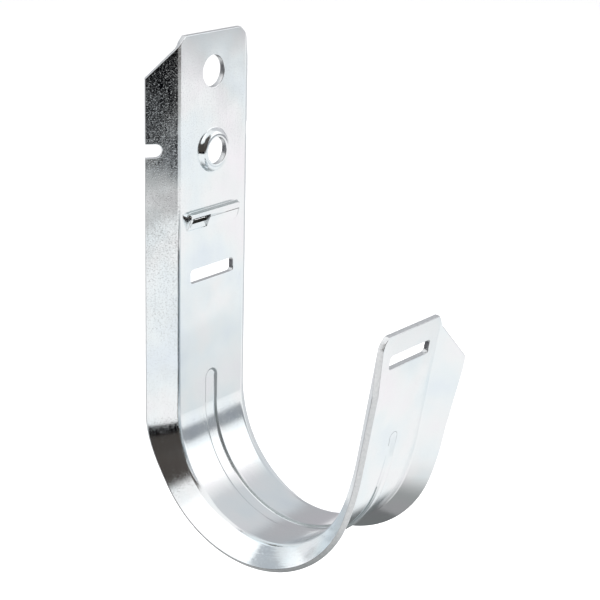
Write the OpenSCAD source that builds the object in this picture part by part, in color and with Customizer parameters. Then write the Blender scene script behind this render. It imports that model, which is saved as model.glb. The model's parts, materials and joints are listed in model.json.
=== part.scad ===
// J hook cable support
// One strip of sheet steel: a back plate with a row of holes, a round loop that carries the cables
// and an upright lip. Both long edges are folded away from the cables, so the cables only meet
// smooth bends. Millimetres. The origin is the centre of the mounting hole on the plate's cable
// side, +X points from the plate to the lip, and +Z points up the plate.

/* [Sheet] */
// Thickness of the sheet
sheet_t = 1.4; // [1:0.1:1.8]
// Width of the flat web, from one fold line to the other
web_w = 23.4; // [21:0.1:36]

/* [Hook] */
// Height of the back plate above the start of the loop
plate_h = 90.6; // [88:0.1:140]
// Inner radius of the loop
loop_r = 25.4; // [20:0.1:50]
// Angle that the loop turns through
loop_turn = 160.2; // [150:0.1:165]
// Inner radius of the opening-out arc between the loop and the lip
lead_r = 69.9; // [40:0.1:120]
// Angle that the opening-out arc turns through
lead_turn = 10.3; // [2:0.1:14]
// Height of the straight lip above the arcs
lip_h = 29.6; // [27:0.1:50]

/* [Edge flanges] */
// Angle of both flanges from the web
flange_angle = 37; // [30:0.5:50]
// Radius of the fold on the cable side
fold_r = 2.8; // [2.4:0.1:4]
// Width of the flanges on the back plate, from the fold line
plate_flange_w = 8; // [7.2:0.1:12]
// Width of the flanges round the loop
loop_flange_w = 6.8; // [5:0.1:7]
// Width of the flanges on the lip
lip_flange_w = 8; // [7.2:0.1:12]
// Length over which a flange narrows towards the loop
taper_l = 16; // [6:0.5:24]

/* [Cropped corners] */
// Length of the crop along the plate's top edge, inside the fold line
plate_crop = 2; // [1:0.1:4]
// Slope of the crop on the plate, down from the top edge
plate_crop_angle = 42.8; // [35:0.1:50]
// Length of the crop along the lip's top edge, inside the fold line
lip_crop = 1.8; // [1:0.1:4]
// Slope of the crop on the lip, down from the top edge
lip_crop_angle = 46.4; // [35:0.1:50]

/* [Mounting hole] */
// Diameter of the mounting hole
hole_d = 7.5; // [4:0.1:9]
// Distance from the plate's top edge to the mounting hole
hole_drop = 9.2; // [7:0.1:12]

/* [Raised hole] */
// Distance from the mounting hole down to the raised hole
boss_drop = 18.6; // [15:0.1:20]
// Diameter of the raised hole
boss_hole_d = 6.4; // [4:0.1:7]
// Width of the flat rim round the raised hole
boss_rim = 0.4; // [0.4:0.05:0.8]
// Diameter of the raised hole's foot on the plate
boss_d = 10.8; // [10:0.1:13]
// Height of the raised hole
boss_rise = 1.3; // [0.8:0.1:1.6]

/* [Tie bridge] */
// Distance from the mounting hole down to the tie bridge
bridge_drop = 34.5; // [32:0.1:38]
// Length of the bridge's foot
bridge_l = 18.8; // [14:0.1:20]
// Height of the bridge's foot along the plate
bridge_w = 4.4; // [3.6:0.1:5]
// Rise of the bridge above the plate
bridge_rise = 1.4; // [0.8:0.1:1.6]
// Length of the window under the bridge
window_l = 6.6; // [4:0.1:8]
// Height of the window in the bridge's lower side
window_h = 2.3; // [1.8:0.1:2.6]
// Distance from the left end of the bridge's foot to the window
window_inset = 0.7; // [0.4:0.1:1.4]
// Height of the shelf of flat sheet at the window's foot
shelf_h = 1; // [0.6:0.1:1.1]
// Depth of the shelf below the plate's face
shelf_sink = 0.2; // [0.1:0.05:0.4]

/* [Tie slots] */
// Length of both tie slots
slot_l = 15.4; // [10:0.1:16]
// Height of both tie slots
slot_w = 3.4; // [2.4:0.1:4]
// Corner radius of both tie slots
slot_r = 0.9; // [0.3:0.1:1.1]
// Distance from the mounting hole down to the slot in the plate
slot_drop = 48.2; // [45:0.1:52]
// Distance from the lip's top edge down to the slot in the lip
lip_slot_drop = 6.9; // [5:0.1:9]

/* [Flange notches] */
// Distance from the mounting hole down to the notches
notch_drop = 16.8; // [12:0.1:30]
// Height of the notches
notch_w = 3.2; // [2:0.1:3.6]
// Depth of the notches from the flange's edge
notch_depth = 3.9; // [2:0.1:4.2]

/* [Stiffening bead] */
// Width of the bead
bead_w = 4.4; // [4:0.1:6]
// Depth of the bead, pressed away from the cables
bead_rise = 0.8; // [0.4:0.1:1.2]
// Length of the bead on the back plate above the loop
bead_up_plate = 8.4; // [4:0.1:20]
// Length of the bead on the lip above the arcs
bead_up_lip = 4; // [2.5:0.1:14]

/* [Hidden] */
$fn = 96;
// Overshoot of a cutter past the sheet
past = 1;
// Angle by which a round runs on into what it meets, so that the two fuse
lap = 1;
// Length by which the shelf runs on into the sheet round it
shelf_lap = 0.3;
// Extra on each face of every second run of the strip, where it meets the next
joint_skin = 0.002;
// Half the web, from its middle to a fold line
half_web = web_w / 2;
// Distance from a fold line to where the fold's round starts
fold_run = fold_r * tan(flange_angle / 2);
// Height of the loop's start, measured from the mounting hole
loop_z = hole_drop - plate_h;
// Sector of a ring, from angle a to angle b, under 180 degrees apart
module ring_sector(r_in, r_out, a, b) {
    mid = (a + b) / 2;
    far = 2 * r_out / cos((b - a) / 4);
    intersection() {
        difference() {
            circle(r_out);
            circle(r_in);
        }
        polygon([[0, 0], far * [cos(a), sin(a)], far * [cos(mid), sin(mid)], far * [cos(b), sin(b)]]);
    }
}

// Rectangle with round corners, centred
module round_slot(l, w, r) {
    square([l - 2 * r, w], center = true);
    square([l, w - 2 * r], center = true);
    for (x = [-1, 1], y = [-1, 1])
        translate([x * (l / 2 - r), y * (w / 2 - r)]) circle(r);
}

// Half of the sheet's section across a pressed form: flat, convex round, concave round.
// X runs from the middle of the form and Y = 0 is the face that the form stands up from.
module press_profile(flat, run, rise, skin = 0) {
    slope = 2 * atan(rise / run);
    rounds = run / sin(slope);
    convex = (rounds + sheet_t) / 2;
    concave = (rounds - sheet_t) / 2;
    if (flat > 0)
        translate([0, rise - sheet_t - skin]) square([flat, sheet_t + 2 * skin]);
    translate([flat, rise - convex])
        ring_sector(convex - sheet_t - skin, convex + skin, 90 - slope - lap / 2, 90 + (flat > 0 ? lap : 0));
    translate([flat + run, concave])
        ring_sector(concave - skin, concave + sheet_t + skin, 270 - slope - lap / 2, 270 + lap);
}

// Pressed form with round ends, its length along X, standing up from Z = 0
module pressed_form(l, w, flat, rise) {
    straight = l - w;
    run = w / 2 - flat;
    if (straight > 0) {
        for (s = [0, 1]) mirror([s, 0, 0]) translate([straight / 2, 0, 0]) rotate([0, 0, -90])
            rotate_extrude(angle = 180) press_profile(flat, run, rise);
        for (s = [0, 1]) mirror([0, s, 0]) translate([-straight / 2, 0, 0]) rotate([90, 0, 90])
            linear_extrude(straight) press_profile(flat, run, rise);
    } else {
        rotate_extrude() press_profile(flat, run, rise);
    }
}

// Hole in the sheet where a pressed form stands, with its face at Z = 0
module form_hole(l, w) {
    translate([0, 0, -sheet_t - past]) linear_extrude(sheet_t + 2 * past) {
        if (l > w)
            square([l - w, w], center = true);
        for (s = l > w ? [-1, 1] : [0]) translate([s * (l - w) / 2, 0]) circle(d = w);
    }
}

// Section of the strip: X runs out from the cable side and Y across the strip. Runs that meet on a
// turned plane have skins that differ, so that one end face lies well inside the other.
module strip_section(flange_w, skin) {
    translate([-skin, -half_web + fold_run]) square([sheet_t + 2 * skin, web_w - 2 * fold_run]);
    for (s = [0, 1]) mirror([0, s]) {
        translate([fold_r, half_web - fold_run])
            ring_sector(fold_r - sheet_t - skin, fold_r + skin, 180 - flange_angle - lap, 180 + lap);
        translate([0, half_web]) rotate(90 - flange_angle) translate([fold_run, -sheet_t - skin])
            square([flange_w - fold_run + skin, sheet_t + 2 * skin]);
    }
}

// Section of the strip with the stiffening bead
module beaded_section(flange_w, skin) {
    difference() {
        strip_section(flange_w, skin);
        translate([-past, -bead_w / 2]) square([sheet_t + 2 * past, bead_w]);
    }
    for (s = [0, 1]) mirror([0, s]) translate([sheet_t, 0]) rotate(90) mirror([0, 1])
        press_profile(0, bead_w / 2, bead_rise, skin);
}

// Places a flange-shaped cutter: X runs across the flange from the fold line, Y along the strip
// and Z through the sheet, from the cable side
module on_flanges() {
    for (s = [0, 1]) mirror([0, s, 0]) translate([0, half_web, 0])
        rotate([90, 0, 90 - flange_angle]) children();
}

// Straight run of the strip, standing on Z = 0 with its cable side at X = 0. Its flanges narrow
// towards its foot, its top corners are cropped, and a bead with a round end runs up from the foot.
module straight_run(h, flange_w, crop, crop_angle, bead_l, skin = 0) {
    tilt = atan(tan(crop_angle) / cos(flange_angle / 2));
    crop_box = 4 * flange_w;
    foot_w = loop_flange_w + skin;
    difference() {
        linear_extrude(h) strip_section(flange_w, skin);
        on_flanges() translate([0, 0, -past]) linear_extrude(sheet_t + 2 * past)
            polygon([[foot_w, -past], [foot_w, 0], [flange_w + skin, taper_l],
                [flange_w + past, taper_l], [flange_w + past, -past]]);
        for (s = [0, 1]) mirror([0, s, 0]) translate([0, half_web, h - crop * tan(crop_angle)])
            rotate([0, 0, -flange_angle / 2]) rotate([-tilt, 0, 0])
                translate([-crop_box / 2, -crop_box / 2, 0]) cube(crop_box);
        translate([-past, -bead_w / 2, -past])
            cube([sheet_t + 2 * past, bead_w, bead_l - bead_w / 2 + past]);
        translate([-past, 0, bead_l - bead_w / 2]) rotate([0, 90, 0])
            cylinder(h = sheet_t + 2 * past, d = bead_w);
    }
    translate([sheet_t, 0, 0]) {
        for (s = [0, 1]) mirror([0, s, 0]) linear_extrude(bead_l - bead_w / 2)
            rotate(90) mirror([0, 1]) press_profile(0, bead_w / 2, bead_rise, skin);
        translate([0, 0, bead_l - bead_w / 2]) rotate([90, 0, 90])
            rotate_extrude(angle = 180) press_profile(0, bead_w / 2, bead_rise, skin);
    }
}

// Holes and pressed forms of the plate: X runs across the plate, Y up it and Z to the cables
module plate_holes() {
    translate([0, 0, -sheet_t - past]) {
        cylinder(h = sheet_t + 2 * past, d = hole_d);
        translate([0, -slot_drop, 0]) linear_extrude(sheet_t + 2 * past)
            round_slot(slot_l, slot_w, slot_r);
    }
    translate([0, -boss_drop, 0]) form_hole(boss_d, boss_d);
    translate([0, -bridge_drop, 0]) form_hole(bridge_l, bridge_w);
}

module raised_hole() {
    translate([0, -boss_drop, 0]) difference() {
        pressed_form(boss_d, boss_d, boss_hole_d / 2 + boss_rim, boss_rise);
        translate([0, 0, -sheet_t - past]) cylinder(h = sheet_t + boss_rise + 2 * past, d = boss_hole_d);
    }
}

// Bridge with a window through the left half of its lower side, over a sunk shelf of flat sheet
module tie_bridge() {
    translate([window_inset - bridge_l / 2, -bridge_drop - bridge_w / 2, 0]) {
        difference() {
            translate([bridge_l / 2 - window_inset, bridge_w / 2, 0])
                pressed_form(bridge_l, bridge_w, 0, bridge_rise);
            translate([0, 0, -sheet_t - past])
                cube([window_l, window_h, sheet_t + bridge_rise + 2 * past]);
        }
        translate([-shelf_lap, -shelf_lap, -sheet_t - shelf_sink])
            cube([window_l + 2 * shelf_lap, shelf_h + shelf_lap, sheet_t]);
    }
}

// Back plate, with its notches, holes and pressed forms
module back_plate() {
    difference() {
        translate([0, 0, loop_z]) mirror([1, 0, 0])
            straight_run(plate_h, plate_flange_w, plate_crop, plate_crop_angle, bead_up_plate);
        mirror([1, 0, 0]) translate([0, 0, -notch_drop]) on_flanges() translate([0, 0, -past])
            linear_extrude(sheet_t + 2 * past)
                translate([plate_flange_w - notch_depth + notch_w / 2, 0]) {
                    circle(d = notch_w);
                    translate([0, -notch_w / 2]) square([notch_depth, notch_w]);
                }
        rotate([90, 0, 90]) plate_holes();
    }
    rotate([90, 0, 90]) {
        raised_hole();
        tie_bridge();
    }
}

// Carries its children from the start of an arc, where the cable side is at X = 0, to its end
module at_arc_end(r, turn) {
    translate([-r, 0, 0]) rotate([0, -turn, 0]) translate([r, 0, 0]) children();
}

// Arc of the strip with its bead, starting at Z = 0 and curling to the cable side. It is drawn a
// little too long and trimmed on the plane that its children stand on, so that they meet it flush.
module arc_run(r, turn, skin = 0) {
    trim = 2 * (half_web + loop_flange_w);
    difference() {
        translate([-r, 0, 0]) rotate([90, 0, 0])
            rotate_extrude(angle = turn + lap) translate([r, 0]) beaded_section(loop_flange_w, skin);
        at_arc_end(r, turn) translate([-trim / 2, -trim / 2, 0]) cube(trim);
    }
    at_arc_end(r, turn) children();
}

// Straight lip with its tie slot
module lip() {
    difference() {
        straight_run(lip_h, lip_flange_w, lip_crop, lip_crop_angle, bead_up_lip, joint_skin);
        translate([-past, 0, lip_h - lip_slot_drop]) rotate([90, 0, 90])
            linear_extrude(sheet_t + 2 * past) round_slot(slot_l, slot_w, slot_r);
    }
}

module j_hook() {
    color("gainsboro") union() {
        back_plate();
        translate([0, 0, loop_z]) rotate([0, 180, 0])
            arc_run(loop_r, loop_turn, joint_skin) arc_run(lead_r, lead_turn) lip();
    }
}

j_hook();
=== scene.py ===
"""Looks of a J hook cable support: one strip of zinc plated sheet steel, pierced, pressed and rolled."""
import json
import logging
import math
from collections.abc import Callable, Sequence
from dataclasses import dataclass
from enum import Enum, IntEnum
from functools import cached_property
from typing import ClassVar

import bmesh
import bpy
from mathutils import Matrix, Vector


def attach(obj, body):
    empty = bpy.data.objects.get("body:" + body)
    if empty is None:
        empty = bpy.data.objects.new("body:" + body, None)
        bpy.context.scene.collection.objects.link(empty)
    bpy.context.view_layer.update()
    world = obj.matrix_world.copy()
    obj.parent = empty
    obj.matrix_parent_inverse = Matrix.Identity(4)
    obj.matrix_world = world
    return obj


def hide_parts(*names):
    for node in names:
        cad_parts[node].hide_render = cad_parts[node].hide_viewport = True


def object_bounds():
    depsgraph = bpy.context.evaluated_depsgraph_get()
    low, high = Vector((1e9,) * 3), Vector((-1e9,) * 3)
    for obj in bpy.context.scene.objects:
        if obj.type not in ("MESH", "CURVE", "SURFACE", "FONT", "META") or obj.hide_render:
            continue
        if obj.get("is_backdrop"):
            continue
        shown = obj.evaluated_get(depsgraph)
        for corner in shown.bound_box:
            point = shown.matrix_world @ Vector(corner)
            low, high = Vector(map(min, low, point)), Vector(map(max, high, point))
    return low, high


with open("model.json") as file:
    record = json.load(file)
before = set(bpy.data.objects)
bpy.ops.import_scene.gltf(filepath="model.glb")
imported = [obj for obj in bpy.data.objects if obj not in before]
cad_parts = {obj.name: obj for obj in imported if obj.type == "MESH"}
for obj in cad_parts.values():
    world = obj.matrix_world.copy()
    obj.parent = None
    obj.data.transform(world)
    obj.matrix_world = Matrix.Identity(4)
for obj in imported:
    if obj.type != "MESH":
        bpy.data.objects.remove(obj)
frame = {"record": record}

MM = 0.001
SLACK = 0.01  # A point this near to a place lies on it, in millimetres
SKIN = 0.002  # A face no further than this from the sheet lies in it, in millimetres
WIDTH = Vector((0, 1, 0))
NODE = "j_hook"
ALONG = "along"
log = logging.getLogger(NODE)

Point = Pair = tuple[float, float]
Colour = Triple = tuple[float, float, float]
Stops = tuple[tuple[float, Colour], ...]


class Finish(IntEnum):
    """Finish of a face of the strip, numbered as its material slots are."""

    PLATE = 0
    SHEARED = 1
    # Near-black painted shade in the bridge's recess and below its crest
    TORN = 2
    # Grey painted shade on the walls of the bead's groove and the bridge's steep upper wall
    CREASE = 3


class Kind(Enum):
    """Kind of element that is picked on the bench, with the name of its list in the mesh."""

    VERT = "verts"
    EDGE = "edges"
    FACE = "faces"


# ---------------------------------------------------------------- modelling bench


class Bench:
    """A mesh on the bench in edit mode, with the few hand moves that the hook needs."""

    TINY = 2e-6

    def __init__(self, name: str) -> None:
        """Adds a small plane and merges it to one point, ready to be drawn out.

        Args:
            name: Name of the new object.
        """
        bpy.ops.object.select_all(action="DESELECT")
        bpy.ops.mesh.primitive_plane_add(size=MM, location=(0, 0, 0))
        self.piece = bpy.context.active_object
        self.piece.name = self.piece.data.name = name
        self.open()
        bpy.ops.mesh.select_all(action="SELECT")
        bpy.ops.mesh.merge(type="CENTER")

    def open(self) -> None:
        """Goes into edit mode, to pick points."""
        bpy.ops.object.mode_set(mode="EDIT")
        self.points()

    def close(self) -> None:
        """Leaves edit mode."""
        bpy.ops.object.mode_set(mode="OBJECT")

    def points(self) -> None:
        """Goes back to picking points."""
        bpy.ops.mesh.select_mode(type=Kind.VERT.name)

    def edit(self) -> bmesh.types.BMesh:
        """Opens the mesh for a look at its elements.

        Returns:
            The mesh that is being edited, with its points numbered.
        """
        mesh = bmesh.from_edit_mesh(self.piece.data)
        mesh.verts.ensure_lookup_table()
        return mesh

    def choose(self, kind: Kind, test: Callable[[object], bool]) -> None:
        """Selects the visible elements of one kind that pass a test.

        Args:
            kind: Kind of the elements, which is picked from then on.
            test: Takes an element and says whether it is picked.
        """
        bpy.ops.mesh.select_all(action="DESELECT")
        bpy.ops.mesh.select_mode(type=kind.name)
        mesh = self.edit()
        for element in getattr(mesh, kind.value):
            if not element.hide and test(element):
                element.select = True
        mesh.select_flush_mode()
        bmesh.update_edit_mesh(self.piece.data)

    def pick(self, test: Callable[[Vector], bool]) -> None:
        """Selects the points whose place passes a test, and the edges and faces between them."""
        self.choose(Kind.VERT, lambda vert: test(vert.co))

    def pick_at(self, place: Vector) -> None:
        """Selects the point at a place."""
        self.pick(lambda co: (co - place).length < SLACK * MM)

    def pick_edges(self, test: Callable[[Vector], bool]) -> None:
        """Selects the open edges whose two ends pass a test."""
        self.choose(Kind.EDGE,
                    lambda edge: len(edge.link_faces) < 2 and all(test(v.co) for v in edge.verts))

    def pick_faces(self, test: Callable[[bmesh.types.BMFace], bool]) -> None:
        """Selects the faces that pass a test."""
        self.choose(Kind.FACE, test)

    def pick_behind(self, chosen: Sequence[bool]) -> None:
        """Selects points of the sheet's back, which come after those of its cable side.

        Args:
            chosen: For each point of the cable side, whether the one behind it is picked.
        """
        bpy.ops.mesh.select_all(action="DESELECT")
        mesh = self.edit()
        for on, vert in zip(chosen, mesh.verts[len(chosen):]):
            vert.select = on
        mesh.select_flush_mode()
        bmesh.update_edit_mesh(self.piece.data)

    def draw(self, path: Sequence[Vector]) -> None:
        """Extrudes a point from place to place.

        Args:
            path: Where the point is, and the places that it visits, in order.
        """
        self.pick_at(path[0])
        for here, place in zip(path, path[1:]):
            self.extrude(place - here)

    def extrude(self, step: Vector) -> None:
        """Extrudes what is picked by one step."""
        bpy.ops.mesh.extrude_region_move(TRANSFORM_OT_translate={"value": step})

    def move(self, step: Vector) -> None:
        """Moves what is picked."""
        bpy.ops.transform.translate(value=step)

    def scale(self, across: float, along: float, centre: Vector) -> None:
        """Scales what is picked across and along the strip, about a centre."""
        bpy.ops.transform.resize(value=(1, across, along), center_override=centre)

    def turn(self, angle: float) -> None:
        """Turns what is picked about the strip's width, in radians by the right hand rule."""
        bpy.ops.transform.rotate(value=-angle, orient_axis="Y", center_override=(0, 0, 0))

    def draw_in(self, across: float, along: float, centre: Vector, lean: float = 0.0) -> None:
        """Extrudes the picked outline in its own plane, towards a centre.

        Args:
            across: What is left of its size across the strip.
            along: What is left of its size along the strip.
            centre: The centre, in millimetres.
            lean: Turn of the outline's plane about the strip's width, in radians.
        """
        self.extrude(Vector((0, 0, 0)))
        self.turn(-lean)
        self.scale(across, along, Matrix.Rotation(-lean, 3, "Y") @ centre * MM)
        self.turn(lean)

    def spin(self, centre: Vector, axis: Vector, angle: float, steps: int) -> None:
        """Sweeps what is picked round an axis, in radians by the right hand rule, in a number of rows."""
        bpy.ops.mesh.spin(steps=steps, angle=-angle, center=centre, axis=axis)

    def add_plane(self, long: float, wide: float) -> None:
        """Adds a plane that lies in the plate, by half its length and half its width in millimetres."""
        bpy.ops.mesh.primitive_plane_add(size=2 * MM, location=(0, 0, 0), rotation=(0, math.pi / 2, 0))
        self.scale(long, wide, Vector((0, 0, 0)))

    def add_circle(self, radius: float, points: int, centre: Vector) -> None:
        """Adds a circle that lies in the plate, in millimetres."""
        bpy.ops.mesh.primitive_circle_add(vertices=points, radius=radius * MM, fill_type="NOTHING",
                                          location=centre * MM, rotation=(0, math.pi / 2, 0))

    def round_corners(self, size: float, segments: int) -> None:
        """Rounds the picked corners of a plane by a size in millimetres."""
        bpy.ops.mesh.bevel(offset=size * MM, segments=segments, affect="VERTICES", clamp_overlap=False)

    def keep_outline(self) -> None:
        """Takes the face out of a plane, leaves its outline and picks it."""
        bpy.ops.mesh.select_all(action="SELECT")
        bpy.ops.mesh.delete(type="ONLY_FACE")
        bpy.ops.mesh.select_all(action="SELECT")

    def alone(self, work: Callable[[], None]) -> None:
        """Hides the mesh so far while a new outline is worked on, then shows it again.

        Args:
            work: Adds and shapes the new outline.
        """
        self.points()
        bpy.ops.mesh.select_all(action="SELECT")
        bpy.ops.mesh.hide(unselected=False)
        work()
        self.points()
        bpy.ops.mesh.reveal(select=False)

    def weld(self) -> None:
        """Merges points that lie on each other."""
        self.points()
        bpy.ops.mesh.select_all(action="SELECT")
        bpy.ops.mesh.remove_doubles(threshold=self.TINY)

    def dress(self, finish: Finish, test: Callable[[bmesh.types.BMFace], bool]) -> None:
        """Gives some faces a finish of their own.

        Args:
            finish: The finish.
            test: Takes a face and says whether it gets the finish.
        """
        self.pick_faces(test)
        self.piece.active_material_index = finish
        bpy.ops.object.material_slot_assign()
        self.points()

    def modify(self, kind: str, **settings: object) -> None:
        """Adds a modifier and applies it.

        Args:
            kind: The modifier's type.
            settings: Its settings.
        """
        modifier = self.piece.modifiers.new(kind.lower(), kind)
        for name, value in settings.items():
            setattr(modifier, name, value)
        bpy.ops.object.modifier_apply(modifier=modifier.name)


# ---------------------------------------------------------------- sizes of the strip


def arc(centre: Point, radius: float, start: float, turn: float, steps: int) -> list[Point]:
    """Points along an arc, without its first one, from a start and a turn in degrees."""
    angles = [math.radians(start + turn * (i + 1) / steps) for i in range(steps)]
    return [(centre[0] + radius * math.cos(a), centre[1] + radius * math.sin(a)) for a in angles]


def ring_heights(rise: float, steps: int) -> list[float]:
    """Heights of the rings that draw a pressed wall, closer together at both ends."""
    return [rise * (1 - math.cos(math.pi * (i + 1) / steps)) / 2 for i in range(steps)]


def inward(turn: float) -> Vector:
    """Direction out of the cable side after a turn of the strip, in radians."""
    return Vector((math.cos(turn), 0, math.sin(turn)))


@dataclass(frozen=True)
class Ramp:
    """The S-shaped wall of a pressed form, from the sheet up to its crest, in millimetres."""

    run: float
    rise: float
    sheet: float

    @property
    def slope(self) -> float:
        """Steepest slope of the wall, in radians."""
        return 2 * math.atan(self.rise / self.run)

    @property
    def convex(self) -> float:
        """Radius of the round at the crest, on the raised side."""
        return (self.run / math.sin(self.slope) + self.sheet) / 2

    @property
    def concave(self) -> float:
        """Radius of the round at the foot, on the raised side."""
        return (self.run / math.sin(self.slope) - self.sheet) / 2

    def inset(self, height: float) -> float:
        """How far in from the foot the wall reaches a height.

        Args:
            height: Height above the sheet.

        Returns:
            Distance from the foot.
        """
        if height <= self.concave * (1 - math.cos(self.slope)):
            return math.sqrt(max(0.0, self.concave**2 - (self.concave - height) ** 2))
        left = self.rise - height
        return self.run - math.sqrt(max(0.0, self.convex**2 - (self.convex - left) ** 2))


@dataclass(frozen=True)
class SteepWall:
    """Wall that stands straight up, with a small round at its foot and its crest, in millimetres."""

    foot_r: float
    crest_r: float
    rise: float

    def inset(self, height: float) -> float:
        """How far in from the foot the wall reaches a height.

        Args:
            height: Height above the sheet.

        Returns:
            Distance from the foot.
        """
        if height < self.foot_r:
            return math.sqrt(self.foot_r**2 - (self.foot_r - height) ** 2)
        left = min(self.rise - height, self.crest_r)
        return self.foot_r + self.crest_r - math.sqrt(self.crest_r**2 - (self.crest_r - left) ** 2)


@dataclass(frozen=True)
class Slope:
    """Straight slope from the sheet up to a flat crest, rounded at both ends, in millimetres."""

    run: float
    rise: float
    rounds: float = 0.06
    bend_share: float = 0.25

    def inset(self, height: float) -> float:
        """How far in from the foot the slope reaches a height.

        Args:
            height: Height above the sheet.

        Returns:
            Distance from the foot.
        """
        near = min(height, self.rise - height)
        if near <= 0:
            return self.run * height / self.rise
        bend = self.rounds * max(0.0, 1 - near / (self.rise * self.bend_share)) ** 2
        return self.run * height / self.rise + (bend if height < self.rise / 2 else -bend)


@dataclass(frozen=True)
class Notch:
    """Notch in the edge of each flange of the plate, in millimetres."""

    drop: float = 16.8
    width: float = 3.2
    depth: float = 3.9
    steps: int = 14

    def outline(self, s: "Strip") -> list[Point]:
        """Draws the notch from below.

        Args:
            s: The strip's sizes.

        Returns:
            Its outline, as (distance from the fold line, height above the loop's start).
        """
        v = -self.drop - s.loop_z
        r = self.width / 2
        centre = s.plate_flange - self.depth + r
        round_end = arc((centre, v), r, 270, -180, self.steps)  # From below, round to above
        return [(s.plate_flange, v - r), (centre, v - r), *round_end, (s.plate_flange, v + r)]


@dataclass(frozen=True)
class Crop:
    """Crop of a run's top corners: its length along the top edge, and its slope in degrees."""

    length: float
    slope: float


@dataclass(frozen=True)
class Run:
    """A straight run of the strip, in millimetres.

    Its frame goes from (out of the cable side, across, up from the foot) to metres, and its two
    flanges are the flange's width at the foot and beyond the taper.
    """

    frame: Matrix
    lean: float
    height: float
    flanges: Pair
    taper: float
    bead: float
    crop: Crop
    notch: Notch | None = None

    @cached_property
    def back(self) -> Matrix:
        """From metres to the run's own frame."""
        return self.frame.inverted()

    def step(self, move: Sequence[float]) -> Vector:
        """A move in the run's frame, in metres."""
        return self.frame.to_3x3() @ Vector(move)

    def flange_at(self, height: float) -> float:
        """Width of the flange at a height."""
        foot, full = self.flanges
        return foot + (full - foot) * min(1.0, height / self.taper)


@dataclass
class Strip:
    """Sizes of the strip, in millimetres and degrees.

    They are those of the part's solids, apart from the bead's depth, walls and ridge and the taper
    of the flanges at the loop's start, which are finer here.
    """

    WALL_STEPS: ClassVar[int] = 5
    FOLD_STEPS: ClassVar[int] = 9
    MIDDLE_SHARE: ClassVar[float] = 0.6

    sheet: float = 1.4
    web: float = 23.4
    plate_h: float = 90.6
    loop_r: float = 25.4
    loop_turn: float = 160.2
    lead_r: float = 69.9
    lead_turn: float = 10.3
    lip_h: float = 29.6
    flange_angle: float = 37.0
    fold_r: float = 2.8
    plate_flange: float = 8.0
    loop_flange: float = 6.8
    lip_flange: float = 8.0
    taper: float = 16.0
    loop_taper: float = 17.0
    bead_w: float = 4.4
    bead_rise: float = 0.5
    bead_wall: float = 0.9
    bead_back: float = 0.55
    bead_collar: float = 0.5
    ridge_fade: float = 8.0
    bead_up_plate: float = 8.4
    bead_up_lip: float = 4.0
    plate_crop: Crop = Crop(2.0, 42.8)
    lip_crop: Crop = Crop(1.8, 46.4)
    hole_drop: float = 9.2

    @property
    def half(self) -> float:
        """Half the web, to a fold line."""
        return self.web / 2

    @property
    def flat(self) -> float:
        """Half width of the flat part of the web, between the rounds of the folds."""
        return self.half - self.fold_r * math.tan(math.radians(self.flange_angle / 2))

    @property
    def loop_z(self) -> float:
        """Height of the loop's start."""
        return self.hole_drop - self.plate_h

    @property
    def loop_centre(self) -> Vector:
        """Centre of the loop."""
        return Vector((self.loop_r, 0, self.loop_z))

    @property
    def whole_turn(self) -> float:
        """Turn from the plate to the lip, in radians."""
        return math.radians(self.loop_turn + self.lead_turn)

    @property
    def lean(self) -> float:
        """Turn of the lip from upright, in radians."""
        return math.pi - self.whole_turn

    def plate(self) -> Run:
        """The plate, above the loop's start."""
        place = Matrix.Scale(MM, 4) @ Matrix.Translation((0, 0, self.loop_z))
        return Run(place, 0.0, self.plate_h, (self.plate_flange, self.plate_flange), self.taper,
                   self.bead_up_plate, self.plate_crop, Notch())

    def lip(self) -> Run:
        """The lip, above the end of the opening-out arc.

        Returns:
            The lip's run.
        """
        start, end = inward(math.radians(self.loop_turn)), inward(self.whole_turn)
        foot = self.loop_centre - start * self.loop_r + start * self.lead_r - end * self.lead_r
        up = Vector((math.sin(self.whole_turn), 0, -math.cos(self.whole_turn)))
        axes = Matrix((end, WIDTH, up)).transposed().to_4x4()
        axes.translation = foot
        return Run(Matrix.Scale(MM, 4) @ axes, self.lean, self.lip_h, (self.loop_flange, self.lip_flange),
                   self.taper, self.bead_up_lip, self.lip_crop)

    def bead_end(self, run: Run) -> float:
        """Height of the centre of the bead's round end above a run's foot."""
        return run.bead - self.bead_w / 2

    def section(self, flange: float) -> list[Point]:
        """Half of the cable side's section, from the middle of the bead to a flange's edge.

        Args:
            flange: Width of the flange from the fold line.

        Returns:
            Places as (out of the cable side, across the strip).
        """
        wall = Ramp(self.bead_wall, self.bead_rise, 0.0)
        turn = math.degrees(wall.slope)
        bottom = self.bead_w / 2 - self.bead_wall
        points = [(-self.bead_rise, 0.0), (-self.bead_rise, bottom)]
        points += arc((-self.bead_rise + wall.convex, bottom), wall.convex, 180, -turn, self.WALL_STEPS)
        points += arc((-wall.concave, self.bead_w / 2), wall.concave, -turn, turn, self.WALL_STEPS)
        points += [(0.0, self.bead_w / 2 + self.bead_collar), (0.0, self.flat * self.MIDDLE_SHARE)]
        points.append((0.0, self.flat))
        points += arc((-self.fold_r, self.flat), self.fold_r, 0, self.flange_angle, self.FOLD_STEPS)
        points.append(self.flange_point(flange))
        return points

    def flange_point(self, across: float) -> Point:
        """Place on the flange's cable side, at a distance from the fold line, as in a section."""
        turn = math.radians(self.flange_angle)
        return -across * math.sin(turn), self.half + across * math.cos(turn)


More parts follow.
